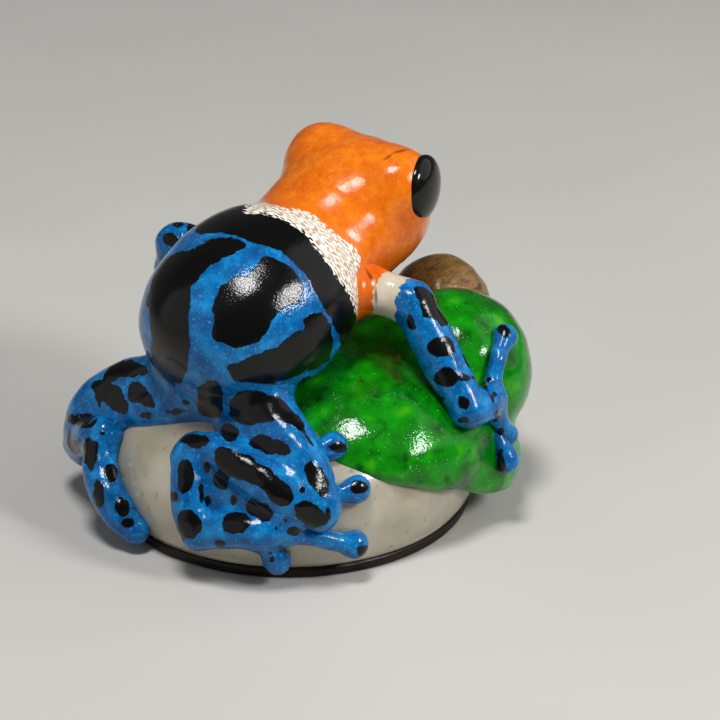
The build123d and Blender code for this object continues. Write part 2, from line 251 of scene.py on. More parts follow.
def dome_gap(points, dome):
    """Give about how far points lie outside a dome: the scaled length of (x/r, y/r, z/rise), less one."""
    centre, radius, rise = dome
    radii = np.array([radius, radius, rise])
    offset = points - np.asarray(centre)
    near = np.linalg.norm(offset / radii, axis=-1)
    steep = np.linalg.norm(offset / radii**2, axis=-1)
    return near * (near - 1) / np.maximum(steep, 1e-9)


def soft_union(a, b, width):
    """Join two distances with a rounded valley: the smaller one, less a parabola where they're close."""
    overlap = np.maximum(width - np.abs(a - b), 0) / width
    return np.minimum(a, b) - overlap**2 * width / 4


def mound_gap(points):
    """Give about how far points lie outside the joined lobes, which a slanted plane cuts off below: the
    larger of both distances, with a rounded edge."""
    lobes = soft_union(dome_gap(points, saddle), dome_gap(points, block), lobe_blend)
    lobes = soft_union(lobes, dome_gap(points, spur), spur_blend)
    lobes = soft_union(lobes, dome_gap(points, ledge), lobe_blend)
    height, lean_x, lean_y = mound_foot
    below = height + lean_x * points[..., 0] + lean_y * points[..., 1] - points[..., 2]
    return -soft_union(-lobes, -below / sqrt(1 + lean_x**2 + lean_y**2), foot_rounding)


def ball_ways(rings, spokes):
    """Give the ways from a ball's middle to its skin: a lift's cosine times a turn's cosine and sine, and
    the lift's sine."""
    lift = np.linspace(-pi / 2, pi / 2, rings)[:, None]
    turn = np.linspace(2 * pi, 0, spokes, endpoint=False)[None, :]
    flat = np.cos(lift)
    return np.stack([flat * np.cos(turn), flat * np.sin(turn), np.sin(lift) + 0 * turn], -1)


def mound_grid():
    """Wrap the mound as seen from its core: each ray marches in by the gap until it lands on the lobes."""
    marches = 60
    way = ball_ways(mound_rings, mound_spokes)
    far = np.full((mound_rings, mound_spokes), mound_reach)
    for _ in range(marches):
        far = far - march_share * mound_gap(mound_core + way * far[..., None])
    return mound_core + way * far[..., None]


def green_dabs(tree, where):
    """Dab light green enamel over dark, with hollows that hold more dark paint and fine pale glints. The
    glints are painted highlights, the varnish's sparkle drawn coarser than it is, so that it shows."""
    dab_width, blot_width, glint_width, brush_width = 3.2 * mm, 1.6 * mm, 0.16 * mm, 0.35 * mm
    dabs, blots, sparkle_noise, bristles = (
        add_node(tree, "TexNoise", {"Scale": 1 / width, "Detail": detail, "Vector": where})
        for width, detail in ((dab_width, 3.0), (blot_width, 2.0), (glint_width, 0.0), (brush_width, 2.0))
    )
    greens = ((0.3, "#025602"), (0.46, "#047203"), (0.58, "#088A05"), (0.7, "#3AA006"))
    green = add_node(tree, "ValToRGB", {"stops": greens, "Fac": dabs})
    hollows = add_node(tree, "ValToRGB", {"stops": ((0.24, "#7E9A6C"), (0.42, "#FFFFFF")), "Fac": blots})
    shade = {"data_type": "RGBA", "blend_type": "MULTIPLY", 0: 0.75}
    deep = add_node(tree, "Mix", {**shade, 6: green, 7: hollows}, 2)
    # The pale glints are painted highlights: specks of light put all over the green, not only where lamps
    # shine.
    glints = add_node(tree, "ValToRGB", {"stops": ((0.79, 0.0), (0.85, 0.4)), "Fac": sparkle_noise})
    tone = add_node(tree, "Mix", {"data_type": "RGBA", 0: glints, 6: deep, 7: "#CFE8B0"}, 2)
    return tone, add_node(tree, "Math", {"operation": "ADD", 0: dabs, 1: bristles})


varnish = {
    "Roughness": 0.4, "Specular IOR Level": 0.04,
    "Coat Weight": 1.0, "Coat Roughness": 0.045, "Coat IOR": 1.35,
}
green_enamel = make_material("varnished_green_enamel", varnish, green_dabs, 0.03)
leafy_mound = make_piece("leafy_mound", green_enamel, [rippled(mound_grid(), *mound_ripple)])
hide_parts("leaf_mound")
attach(leafy_mound, "root")

# Knob: the nut's stem end, left with its rough brown fibres at the front of the mound and varnished
# over, so that the darker and redder strands gleam.

knob_root = np.array([-3.9, -16.2, 15.4])
knob_end = np.array([-5.1, -17.8, 17.6])
knob_radius = 5.4
knob_side = (1, -2, 0)
knob_rings, knob_spokes = 50, 120
knob_ripple = (6.0, 0.10, 2.0)


def smooth_course(stations, count):
    """Carry a smooth line through stations: cubic pieces, whose slope at each is that of its neighbours.
    The stations are spaced by their distances, radii included, and every column is carried alike."""
    stations = np.asarray(stations, float)
    gaps = np.linalg.norm(np.diff(stations, axis=0), axis=1)
    knots = np.concatenate([[0], np.cumsum(gaps)])
    slopes = np.gradient(stations, knots, axis=0)
    place = np.linspace(0, knots[-1], count)
    index = np.clip(np.searchsorted(knots, place, side="right") - 1, 0, len(gaps) - 1)
    gap = gaps[index][:, None]
    part = (place - knots[index])[:, None] / gap
    start, end = stations[index], stations[index + 1]
    lean = part * (1 - part)
    return (
        start * (1 + 2 * part) * (1 - part) ** 2
        + end * part**2 * (3 - 2 * part)
        + gap * lean * ((1 - part) * slopes[index] - part * slopes[index + 1])
    )


def sleeve(stations, side, rings, spokes, roundness=1.0):
    """Carry a round section along a smooth course and close both ends as half balls.

    A station is x, y, z, half width and, if it differs, half depth. Each ring lies square to the course,
    its width along the side. At an end the ring steps out by sin and shrinks by cos of a quarter turn;
    the roundness is the share of a half ball's height that the end has."""
    stations = np.asarray(stations, float)
    if stations.shape[1] == 4:
        stations = np.concatenate([stations, stations[:, 3:]], 1)
    course = smooth_course(stations, rings)
    centre, width, depth = course[:, :3], course[:, 3], course[:, 4]
    way = np.gradient(centre, axis=0)
    way /= np.linalg.norm(way, axis=1, keepdims=True)
    cap = np.linspace(pi / 2, 0, max(20, rings // 6), endpoint=False)
    lift = np.concatenate([-cap, np.zeros(rings), cap[::-1]])
    index = np.clip(np.arange(len(lift)) - len(cap), 0, rings - 1)
    centre, width, depth, way = centre[index], width[index], depth[index], way[index]
    centre = centre + way * (roundness * np.minimum(width, depth) * np.sin(lift))[:, None]
    width, depth = width * np.cos(lift), depth * np.cos(lift)
    across = np.asarray(side, float) - way * (way @ np.asarray(side, float))[:, None]
    across /= np.linalg.norm(across, axis=1, keepdims=True)
    over = np.cross(way, across)
    turn = np.linspace(0, 2 * pi, spokes, endpoint=False)
    round_way = across[:, None] * np.cos(turn)[None, :, None] * width[:, None, None]
    round_way = round_way + over[:, None] * np.sin(turn)[None, :, None] * depth[:, None, None]
    return centre[:, None] + round_way


def brown_fibres(tree, where):
    """Run long strands from tan to red-brown along the knob, which stand up a little from it."""
    strand_width, stretch = 0.55 * mm, 0.22
    lie = {"Rotation": (radians(35), radians(20), 0), "Scale": (1, stretch, 1)}
    along = add_node(tree, "Mapping", {**lie, "Vector": where})
    noise = {"Scale": 1 / strand_width, "Detail": 5.0, "Roughness": 0.7, "Distortion": 0.6}
    strands = add_node(tree, "TexNoise", {**noise, "Vector": along})
    browns = ((0.3, "#33210F"), (0.45, "#6B4E28"), (0.58, "#876535"), (0.72, "#7A4020"))
    return add_node(tree, "ValToRGB", {"stops": browns, "Fac": strands}), strands


fibre_finish = {"Roughness": 0.4, "Specular IOR Level": 0.1, "Coat Weight": 0.7, "Coat Roughness": 0.1}
nut_fibre = make_material("varnished_nut_fibre", fibre_finish, brown_fibres, 0.05)
knob_rows = [(*place, knob_radius) for place in (knob_root, (knob_root + knob_end) / 2, knob_end)]
knob = rippled(sleeve(knob_rows, knob_side, knob_rings, knob_spokes), *knob_ripple)
fibre_knob = make_piece("fibre_knob", nut_fibre, [knob])
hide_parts("skin_knob")
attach(fibre_knob, "root")

# Torso: the frog's egg-shaped back and flanks, painted blue with three large black patches behind a
# black collar, and a tan band of pale strokes at the neck. It was carved in one with the nut.

view_turn = 222.0
view_rise = 25.0
view_distance = 330.0
photo_scale = 9.4
photo_middle = (360.0, 360.0)
view_target = np.array([-1.37, -9.28, 12.82])
crown_height = belly_height + crown_rise
rump = np.array([0.0, 14.0, crown_height + 3.8])
neck = np.array([0.0, -3.0, crown_height + 9.8])
spine = neck - rump
spine_way = spine / np.linalg.norm(spine)
body_width = 21.0
body_depth = 18.2
body_middle_share = 0.5
body_shares = ((0.76, 0.925), (1.0, 0.75))
rump_reach_share = 0.66
rump_squareness = 0.74
head_width = 16.8
head_depth = 13.8
head_length = 12.5
head_climb = 5.0
head_shares = ((0.28, 0.30, 0.95, 1.03), (0.56, 0.60, 0.98, 1.07))
snout_start_share = 0.56
snout_reach_share = 0.62
snout_climb_shares = (0.60, 0.22)
snout_roundness = 0.08
brow_width = 7.8
brow_out = np.array([5.3, -7.8, 6.5])
brow_blend = 2.2
trunk_rings, trunk_spokes = 300, 240
trunk_ripple = (9.0, 0.07, 1.3)
trunk_girth = 9.0
far_outside = -3.0
past_outline = 0.12
trunk_past_outline = 0.10
short_of_middle = 0.06
overlap_sink = np.array([0.005, 0.02, 0.06, 0.15])[:, None, None]


def view_axes():
    """Give the camera's right, up and backward directions from its turn and rise."""
    turn, rise = radians(view_turn), radians(view_rise)
    back = np.array([sin(turn) * cos(rise), -cos(turn) * cos(rise), sin(rise)])
    right = np.array([cos(turn), sin(turn), 0.0])
    return right, np.cross(back, right), back


def seen_at(points):
    """Give where points show in the photograph, in its pixels: offset from the middle over distance."""
    right, up, back = view_axes()
    offset = points - (view_target + back * view_distance)
    scale = photo_scale * view_distance / -(offset @ back)
    return photo_middle[0] + scale * (offset @ right), photo_middle[1] - scale * (offset @ up)


def rounded_outline(corners, steps=6):
    """Round a closed line of corners: each span bends by its neighbours' chords, as a Catmull-Rom curve."""
    corners = np.asarray(corners, float)
    part = np.arange(steps)[None, :, None] / steps
    a, b, c, d = (np.roll(corners, shift, 0)[:, None] for shift in (1, 0, -1, -2))
    bend = 2 * b + (c - a) * part + (2 * a - 5 * b + 4 * c - d) * part**2
    return ((bend + (3 * b - a - 3 * c + d) * part**3) / 2).reshape(-1, 2)


def inside_outline(across, down, corners):
    """Give how far pixels lie inside a rounded outline, in millimetres, less than zero outside it: the
    least distance to its runs, signed by how many of them a line to one side crosses."""
    margin = 25.0
    line = rounded_outline(corners)
    after = np.roll(line, -1, 0)
    spots = np.stack([across.ravel(), down.ravel()], -1)
    near = np.all((spots > line.min(0) - margin) & (spots < line.max(0) + margin), axis=1)
    depth = np.full(len(spots), -margin)
    p = spots[near][:, None]
    edge = (after - line)[None]
    part = np.clip(((p - line) * edge).sum(-1) / np.maximum((edge**2).sum(-1), 1e-9), 0, 1)
    gap = np.linalg.norm(p - line - edge * part[..., None], axis=-1).min(1)
    over = (line[None, :, 1] > p[..., 1]) != (after[None, :, 1] > p[..., 1])
    rise = np.where(edge[..., 1] == 0, 1e-9, edge[..., 1])
    slant = edge[..., 0] * (p[..., 1] - line[None, :, 1]) / rise
    odd = (over & (p[..., 0] < line[None, :, 0] + slant)).sum(1) % 2 == 1
    depth[near] = np.where(odd, gap, -gap)
    return depth.reshape(across.shape) / photo_scale


def seen_patches(points, outlines, ovals):
    """Give how far points would lie inside the patches if the photograph showed them. A patch is an
    outline, or an oval of x, y, half width, half height and tilt, in its pixels."""
    across, down = seen_at(points)
    depth = np.full(across.shape, far_outside)
    for x, y, half_width, half_height, tilt in ovals:
        c, s = cos(radians(tilt)), sin(radians(tilt))
        u = ((across - x) * c + (down - y) * s) / half_width
        v = ((down - y) * c - (across - x) * s) / half_height
        inside = (1 - np.sqrt(u**2 + v**2)) * min(half_width, half_height) / photo_scale
        depth = np.maximum(depth, inside)
    for corners in outlines:
        depth = np.maximum(depth, inside_outline(across, down, corners))
    return depth


def painted(grid, outlines, ovals, blots, girth):
    """Give how far a skin lies inside black paint: the patches that the photograph shows, ended a little
    past the outline, and round blots (x, y, z, radius) on the side that it doesn't show."""
    facing = outward(grid) @ view_axes()[2]
    depth = np.minimum(seen_patches(grid, outlines, ovals), girth * (facing + past_outline))
    depth = np.maximum(depth, far_outside)
    for *place, radius in blots:
        depth = np.maximum(depth, radius - np.linalg.norm(grid - np.array(place), axis=-1))
    return depth


def both_sides(grid, outlines, ovals=()):
    """Paint the trunk's far side with the same patches as its near side, as seen in a mirror."""
    flip = np.array([-1.0, 1.0, 1.0])
    facing = outward(grid) @ view_axes()[2]
    mirrored = (outward(grid) * flip) @ view_axes()[2]
    near = np.minimum(seen_patches(grid, outlines, ovals), trunk_girth * (facing + trunk_past_outline))
    reach = np.minimum(mirrored + trunk_past_outline, -short_of_middle - facing)
    return np.maximum(near, np.minimum(seen_patches(grid * flip, outlines, ovals), trunk_girth * reach))


def trunk_grid():
    """Give the skin from the rump to the snout: an oval section carried along the back, whose rays then
    march in to the rounded join with the balls of the brows. The rump and the snout each close as an
    oval: along by the cosine of a quarter turn, wide by its sine, which a power squares at the rump."""
    quarter = np.radians(np.linspace(6, 90, 12))
    shares = [(body_middle_share - rump_reach_share * cos(q), sin(q) ** rump_squareness) for q in quarter]
    shares += body_shares
    rows = [(*(rump + spine * a), body_width * w / 2, body_depth * w / 2) for a, w in shares]
    level, climb = snout_climb_shares
    section_width, section_depth = head_shares[-1][2:]
    snout_shares = [
        (
            snout_start_share + snout_reach_share * cos(q), level + climb * cos(q),
            section_width * sin(q), section_depth * sin(q),
        )
        for q in quarter[-2::-1]
    ]
    rows += [
        (0.0, neck[1] - head_length * a, neck[2] + head_climb * c, head_width * w / 2, head_depth * d / 2)
        for a, c, w, d in (*head_shares, *snout_shares)
    ]
    grid = sleeve(rows, (1, 0, 0), trunk_rings, trunk_spokes, snout_roundness)
    middle = grid.mean(1, keepdims=True)
    way = grid - middle
    reach = np.linalg.norm(way, axis=-1)
    way /= np.maximum(reach, 1e-9)[..., None]
    start_gap, marches = 4.0, 40
    far = reach + start_gap
    for _ in range(marches):
        place = middle + way * far[..., None]
        gap = far - reach
        for side in (-1, 1):
            brow = neck + brow_out * (side, 1, 1)
            gap = soft_union(gap, np.linalg.norm(place - brow, axis=-1) - brow_width / 2, brow_blend)
        far = far - march_share * gap
    far[0], far[-1] = 0, 0
    return middle + way * far[..., None]


back_patch_px = (
    (245, 246), (242, 240), (228, 238), (210, 241), (186, 250), (168, 256), (158, 266), (151, 281),
    (147, 296), (149, 316), (151, 339), (151, 374), (155, 384), (175, 386), (186, 372), (190, 346),
    (190, 296), (196, 283), (206, 269), (219, 261), (236, 253),
)
middle_patch_px = (
    (258, 263), (263, 257), (274, 258), (286, 265), (296, 273), (302, 283), (302, 293), (299, 303),
    (286, 308), (279, 311), (269, 326), (259, 339), (243, 347), (226, 344), (214, 339), (211, 333),
    (214, 318), (214, 304), (218, 293), (226, 284), (236, 278), (249, 273),
)
flank_patch_px = (
    (307, 318), (312, 313), (322, 314), (329, 321), (332, 334), (332, 349), (329, 359), (319, 366),
    (302, 372), (286, 379), (269, 383), (253, 384), (236, 381), (229, 374), (227, 367), (236, 363),
    (253, 357), (273, 349), (286, 339), (296, 333), (305, 330),
)
collar_px = (
    (196, 232), (204, 212), (238, 198), (262, 209), (282, 214), (298, 222), (312, 236), (324, 250),
    (336, 268), (346, 284), (354, 300), (360, 315), (363, 332), (354, 346), (344, 362), (340, 349),
    (337, 334), (331, 319), (322, 304), (314, 293), (311, 283), (304, 274), (296, 265), (281, 251),
    (266, 245), (246, 240), (236, 235), (215, 232),
)
neck_band_px = (
    (250, 201), (268, 203), (286, 207), (301, 209), (315, 215), (328, 226), (341, 237), (353, 245),
    (360, 255), (362, 265), (364, 281), (367, 293), (370, 305), (372, 320), (362, 330), (357, 320),
    (353, 307), (347, 293), (338, 281), (327, 264), (316, 250), (306, 236), (290, 225), (278, 219),
    (264, 215), (244, 213),
)
head_side_px = (
    (230, 196), (250, 205), (268, 207), (286, 212), (301, 214), (315, 219), (328, 230), (341, 241),
    (350, 248), (356, 256), (359, 266), (361, 281), (364, 293), (367, 305), (370, 322), (400, 330),
    (440, 200), (380, 80), (240, 80), (200, 180),
)
collar_ovals_px = ((306, 381, 9, 4, -20), (277, 389, 8, 4, -10))
right_thigh_outlines_px = (
    (
        (230, 406), (236, 394), (250, 391), (267, 394), (282, 400), (295, 414), (304, 426), (311, 441),
        (313, 446), (298, 430), (282, 423), (272, 420), (258, 424), (240, 423), (230, 415),
    ),
)
right_thigh_ovals_px = (
    (210, 400, 13, 20, 0), (229, 433, 8, 9, 0), (267, 444, 22, 8, 20), (317, 478, 19, 9, 65),
    (303, 490, 4, 4, 0), (328, 512, 3, 5, 0), (175, 411, 10, 4, 0), (184, 403, 3, 2, 0),
    (204, 426, 3, 2.5, 0),
)
left_thigh_outlines_px = (
    (
        (92, 385), (104, 380), (118, 386), (125, 397), (128, 407), (123, 415), (112, 409), (103, 402),
        (99, 408), (96, 400),
    ),
    ((128, 392), (130, 386), (140, 382), (148, 391), (155, 405), (150, 407), (138, 403), (129, 399)),
)
left_thigh_ovals_px = (
    (125, 369, 16, 9, 0), (143, 371, 4.5, 4.5, 0), (146, 416, 6.5, 3.5, 0), (177, 411, 9, 3, 0),
    (185, 403, 3, 2, 0), (83, 420, 14, 7, 0), (69, 441, 2.5, 7, 0), (75, 447, 6, 8, 0),
    (91, 453, 8, 15, 0), (103, 433, 4, 3, 0),
)


def paint_over(tree, under, over, depth, edge, most=1.0):
    """Lay a paint over another where a depth has passed the two values of its edge, at most by a share."""
    start, end = edge
    span = {"From Min": start, "From Max": end, "To Max": most}
    cover = add_node(tree, "MapRange", {**span, "Value": depth})
    return add_node(tree, "Mix", {"data_type": "RGBA", 0: cover, 6: under, 7: over}, 2)


def neck_band(tree, paint):
    """Lay the neck's tan band over a paint, with short white strokes that run round the neck and fray
    its edges. They are drawn about twice as large as the carver's, so that they show."""
    stroke_length, stroke_width = 0.65, 0.18
    band, along, around, front = (
        add_node(tree, "Attribute", {"attribute_name": name}, "Fac")
        for name in ("band", "along", "around", "orange")
    )
    skin = add_node(tree, "CombineXYZ", {"X": along, "Y": around})
    lie = {"Scale": (1.0, stroke_width / stroke_length, 1.0)}
    laid = add_node(tree, "Mapping", {**lie, "Vector": skin})
    strokes = add_node(tree, "TexNoise", {"Scale": 1 / stroke_width, "Detail": 0.5, "Vector": laid})
    frayed = add_node(tree, "Math", {"operation": "MULTIPLY_ADD", 0: strokes, 1: 1.6, 2: band})
    inside = add_node(tree, "MapRange", {"From Min": 0.9, "From Max": 0.98, "Value": frayed})
    there = add_node(tree, "MapRange", {"From Min": 0.0, "From Max": 0.05, "Value": band})
    kept = add_node(tree, "Math", {"operation": "MULTIPLY", 0: inside, 1: there})
    tans = ((0.43, "#B7A184"), (0.48, "#CDBEA4"), (0.53, "#F4F1E9"))
    tan = add_node(tree, "ValToRGB", {"stops": tans, "Fac": strokes})
    under = paint_over(tree, paint, "#E36F0E", front, (0.0, 0.06))
    return add_node(tree, "Mix", {"data_type": "RGBA", 0: kept, 6: under, 7: tan}, 2)


def blue_coat(tree, where):
    """Lay black patches with wavering edges over brushed blue with fine pale flecks. The flecks and the
    brush's streaks are drawn coarser than the real ones, so that they show."""
    sway_size, stroke_size, fleck_size, streak_size = 1.5 * mm, 1.6 * mm, 0.28 * mm, 0.2 * mm
    sway, strokes, specks, streaks = (
        add_node(tree, "TexNoise", {"Scale": 1 / size, "Detail": detail, "Vector": where})
        for size, detail in ((sway_size, 3.0), (stroke_size, 4.0), (fleck_size, 1.0), (streak_size, 2.0))
    )
    black = add_node(tree, "Attribute", {"attribute_name": "black"}, "Fac")
    inside = add_node(tree, "Math", {"operation": "MULTIPLY_ADD", 0: sway, 1: 1.1, 2: black})
    cover = add_node(tree, "MapRange", {"From Min": 0.48, "From Max": 0.58, "Value": inside})
    blues = ((0.3, "#024A86"), (0.5, "#0462A2"), (0.72, "#0C86C6"))
    blue = add_node(tree, "ValToRGB", {"stops": blues, "Fac": strokes})
    flecks = add_node(tree, "ValToRGB", {"stops": ((0.6, 0.0), (0.72, 0.45)), "Fac": specks})
    pale = add_node(tree, "Mix", {"data_type": "RGBA", 0: flecks, 6: blue, 7: "#45AADC"}, 2)
    paint = add_node(tree, "Mix", {"data_type": "RGBA", 0: cover, 6: pale, 7: "#060607"}, 2)
    brushed = add_node(tree, "Math", {"operation": "MULTIPLY_ADD", 0: streaks, 1: 0.8, 2: sway})
    return paint, add_node(tree, "Math", {"operation": "MULTIPLY_ADD", 0: cover, 1: 0.5, 2: brushed})


def blue_and_band(tree, where):
    """Brush the body and limbs blue and black, which shine through the varnish, with the neck's band."""
    paint, relief = blue_coat(tree, where)
    return neck_band(tree, paint), relief


brushed_relief = 0.028
blue_enamel = make_material("varnished_blue_and_black_enamel", varnish, blue_and_band, brushed_relief)
trunk = rippled(trunk_grid(), *trunk_ripple)
neck_ring = int(np.argmin(np.abs((trunk.mean(1) - neck) @ spine_way)))
sunk = len(overlap_sink)
trunk_outward = outward(trunk)
under_head = slice(neck_ring + 1, neck_ring + 1 + sunk)
under_torso = slice(neck_ring - sunk, neck_ring)
tucked_front = trunk[under_head] - trunk_outward[under_head] * overlap_sink
tucked_back = trunk[under_torso] - trunk_outward[under_torso] * overlap_sink[::-1]
front_end = np.repeat(tucked_front[-1:].mean(1)[:, None], trunk_spokes, 1)
torso_skin = np.concatenate([trunk[: neck_ring + 1], tucked_front, front_end])
torso_patches = (back_patch_px, middle_patch_px, flank_patch_px, collar_px)
thigh_outlines_px = right_thigh_outlines_px + left_thigh_outlines_px
thigh_ovals_px = right_thigh_ovals_px + left_thigh_ovals_px
thigh_black = painted(torso_skin, thigh_outlines_px, thigh_ovals_px, (), trunk_girth)
along_skin = (torso_skin - neck) @ spine_way
around_skin = np.linspace(0, pi * body_depth, trunk_spokes)[None, :]
torso_attributes = {
    "black": [np.maximum(both_sides(torso_skin, torso_patches, collar_ovals_px), thigh_black)],
    "band": [np.maximum(both_sides(torso_skin, (neck_band_px,)), 0)],
    "orange": [np.maximum(both_sides(torso_skin, (head_side_px,)), 0)],
    "along": [along_skin],
    "around": [around_skin + 0 * along_skin],
}
torso = make_piece("painted_torso", blue_enamel, [torso_skin], torso_attributes)
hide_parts("torso")
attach(torso, "root")

# Head: a blunt wedge with a swelling over each eye, carved in one with the body and painted orange
# up to the neck, where the paint ends in loose brush strokes.

# Thin lines of painted shade along the brow's creases, which the head's skin doesn't carve.
brow_crease_shades_px = ((388, 157, 6, 1.3, -35), (401, 151, 10, 1.2, -14))


def shade_creases(tree, tone):
    """Darken a paint along the fine creases that the carver cut, as painted shade: the skins don't carve
    them.
    """
    crease = add_node(tree, "Attribute", {"attribute_name": "crease"}, "Fac")
    return paint_over(tree, tone, "#4A1C06", crease, (-0.06, 0.08), 0.75)


def orange_coat(tree, where):
    """Brush orange enamel over the head, redder towards the jaw, with fine pale flecks. The flecks and
    streaks are drawn coarser than the real ones, so that they show."""
    stroke_width, fleck_width, streak_width, jaw_edge = 1.3 * mm, 0.2 * mm, 0.22 * mm, (23 * mm, 29 * mm)
    noise = {"Scale": 1 / stroke_width, "Detail": 5.0, "Roughness": 0.6}
    strokes = add_node(tree, "TexNoise", {**noise, "Vector": where})
    specks = add_node(tree, "TexNoise", {"Scale": 1 / fleck_width, "Detail": 1.0, "Vector": where})
    streaks = add_node(tree, "TexNoise", {"Scale": 1 / streak_width, "Vector": where})
    oranges = ((0.3, "#D65E09"), (0.5, "#E36F0E"), (0.7, "#EE8418"))
    orange = add_node(tree, "ValToRGB", {"stops": oranges, "Fac": strokes})
    height = add_node(tree, "SeparateXYZ", {"Vector": where}, "Z")
    deep = paint_over(tree, "#BE3E0A", orange, height, jaw_edge)
    flecks = add_node(tree, "ValToRGB", {"stops": ((0.66, 0.0), (0.76, 0.5)), "Fac": specks})
    pale = add_node(tree, "Mix", {"data_type": "RGBA", 0: flecks, 6: deep, 7: "#FBB070"}, 2)
    relief = add_node(tree, "Math", {"operation": "MULTIPLY_ADD", 0: streaks, 1: 0.9, 2: strokes})
    return neck_band(tree, shade_creases(tree, pale)), relief


orange_enamel = make_material("varnished_orange_enamel", varnish, orange_coat, brushed_relief)
back_end = np.repeat(tucked_back[:1].mean(1)[:, None], trunk_spokes, 1)
head_skin = np.concatenate([back_end, tucked_back, trunk[neck_ring:]])
head_along = (head_skin - neck) @ spine_way
head_attributes = {
    "band": [np.maximum(both_sides(head_skin, (neck_band_px,)), 0)],
    "along": [head_along],
    "around": [around_skin + 0 * head_along],
    # Painted shade along the brow's creases.
    "crease": [painted(head_skin, (), brow_crease_shades_px, (), trunk_girth)],
}
head = make_piece("painted_head", orange_enamel, [head_skin], head_attributes)
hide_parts("head")
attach(head, "root")

# Eyes: low round beads left proud of the swellings over the jaw, turned a little forwards, painted
# black and varnished to a high gloss.

eye_width = 7.0
eye_thickness = 3.2
eye_out = 2.3
eye_turn = 19.0
right_eye_shift = (0.0, -0.5, -0.2)
left_eye_shift = (-0.5, -1.5, -0.9)
eye_rings, eye_spokes = 60, 120


def eye_black(tree, where):
    """Cloud the black enamel very slightly, under a thick drop of varnish that mirrors the lamps."""
    cloud_width = 1.0 * mm
    clouds = add_node(tree, "TexNoise", {"Scale": 1 / cloud_width, "Detail": 3.0, "Vector": where})
    return add_node(tree, "ValToRGB", {"stops": ((0.3, "#050505"), (0.7, "#0E0D0C")), "Fac": clouds}), None


def bead_grid(centre, outward_way, half_thickness, radius, rings, spokes):
    """Give a bead: a ball whose ways are scaled by the radius across and the half thickness outwards."""
    across = np.cross((0, 0, 1), outward_way)
    across = across / np.linalg.norm(across)
    axes = np.stack([across, np.cross(outward_way, across), outward_way])
    return centre + ball_ways(rings, spokes) * (radius, radius, half_thickness) @ axes


eye_enamel = make_material("glossy_black_enamel", {**varnish, "Coat Roughness": 0.04}, eye_black)
for side, name, eye_shift in ((-1, "right_eye", right_eye_shift), (1, "left_eye", left_eye_shift)):
    eye_way = np.array([side * cos(radians(eye_turn)), -sin(radians(eye_turn)), 0.0])
    eye_centre = neck + brow_out * (side, 1, 1) + eye_way * eye_out + eye_shift
    bead = bead_grid(eye_centre, eye_way, eye_thickness / 2, eye_width / 2, eye_rings, eye_spokes)
    eye = make_piece("painted_" + name, eye_enamel, [bead])
    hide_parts(name)
    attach(eye, "root")

# Arms: slim limbs carved clear of the body at the elbow. A stretch below each shoulder is left as bare
# varnished nut, and the rest is painted blue with black spots and lies over the mound on the right.

upper_arm_width = 5.6
forearm_width = 4.4
palm_width = 3.2
shoulder_out = np.array([5.4, 0.4, -1.8])
right_elbow = np.array([-12.6, -4.7, 24.4])
left_elbow = np.array([15.3, 1.2, 24.8])
upper_arm_shares = ((0.0, 1.0), (0.55, 0.86), (1.0, 0.74))
forearm_shares = ((0.0, 0.88), (0.28, 1.04), (0.55, 1.02), (0.80, 0.94), (1.0, 0.82))
right_palm_table = ((96, 0.52, 0.80, 0.95), (105, 0.48, 0.80, 1.08), (113, 0.46, 0.80, 1.00))
left_palm_table = ((-93, 0.47, 0.75, 0.95), (-99, 0.41, 0.75, 1.10), (-105, 0.36, 0.75, 1.00))
arm_side = (0, 1, 0)
arm_girth = 2.0
arm_blend = 1.2
shoulder_blend = 2.0
right_blue_reach = 0.9
left_orange_reach = 2.0
left_blue_start = 4.6
upper_arm_rings, upper_arm_spokes = 90, 90
forearm_rings, forearm_spokes = 120, 120
limb_ripple = (4.5, 0.07, 0.9)


def limb_rows(dome, table, width):
    """Turn a limb's table of bearing, level, share of its radius stood proud and share of its width into
    stations in millimetres. A digit's table has no last share, and its width is even."""
    rows = np.asarray(table, float)
    shares = rows[:, 3:] if rows.shape[1] > 3 else np.ones((len(rows), 1))
    radii = shares * width / 2
    return np.concatenate([on_dome(dome, rows[:, 0], rows[:, 1], rows[:, 2] * radii[:, 0]), radii], 1)


def straight_rows(start, end, shares, width):
    """Give the stations of a straight limb, whose half width is a share of half its width."""
    return [(*(start + (end - start) * along), width * wide / 2) for along, wide in shares]


def course_gap(points, rows):
    """Give how far points lie outside a round limb: the least distance to its tapered runs."""
    line = smooth_course(rows, 3 * len(rows))
    least = np.full(points.shape[:-1], 1e3)
    for start, end in zip(line[:-1], line[1:]):
        run = end[:3] - start[:3]
        part = np.clip((points - start[:3]) @ run / (run @ run), 0, 1)
        away = np.linalg.norm(points - start[:3] - part[..., None] * run, axis=-1)
        least = np.minimum(least, away - start[3] - part * (end[3] - start[3]))
    return least


def trunk_gap(points):
    """Give about how far points lie outside the trunk, taken as an egg along its spine."""
    offset = points - (rump + spine * body_middle_share)
    along = offset @ spine_way
    rest = offset - along[..., None] * spine_way
    over = np.linalg.norm(rest * (0, 1, 1), axis=-1) * np.sign(rest[..., 2])
    local = np.stack([rest[..., 0], over, along], -1)
    radii = np.array([body_width / 2, body_depth / 2, rump_reach_share * np.linalg.norm(spine)])
    near = np.linalg.norm(local / radii, axis=-1)
    return near * (near - 1) / np.maximum(np.linalg.norm(local / radii**2, axis=-1), 1e-9)


def swelled(grid, neighbours, width, trunk_width=0.0):
    """Swell a skin into rounded joins: each point moves out along its normal until the soft union of its
    own distance and its neighbours' distances is zero."""
    steps, step_share = 8, 0.7
    normal = outward(grid)
    out = np.zeros(grid.shape[:-1])
    for _ in range(steps):
        place = grid + normal * out[..., None]
        gap = out
        for rows in neighbours:
            gap = soft_union(gap, np.maximum(course_gap(place, rows), 0.0), width)
        if trunk_width:
            gap = soft_union(gap, np.maximum(trunk_gap(place), 0.0), trunk_width)
        out = np.clip(out - step_share * gap, 0, width)
    out[0], out[-1] = out[1].mean(), out[-2].mean()
    out[1:-1] += ripple(grid[1:-1], *limb_ripple)
    return grid + normal * out[..., None]


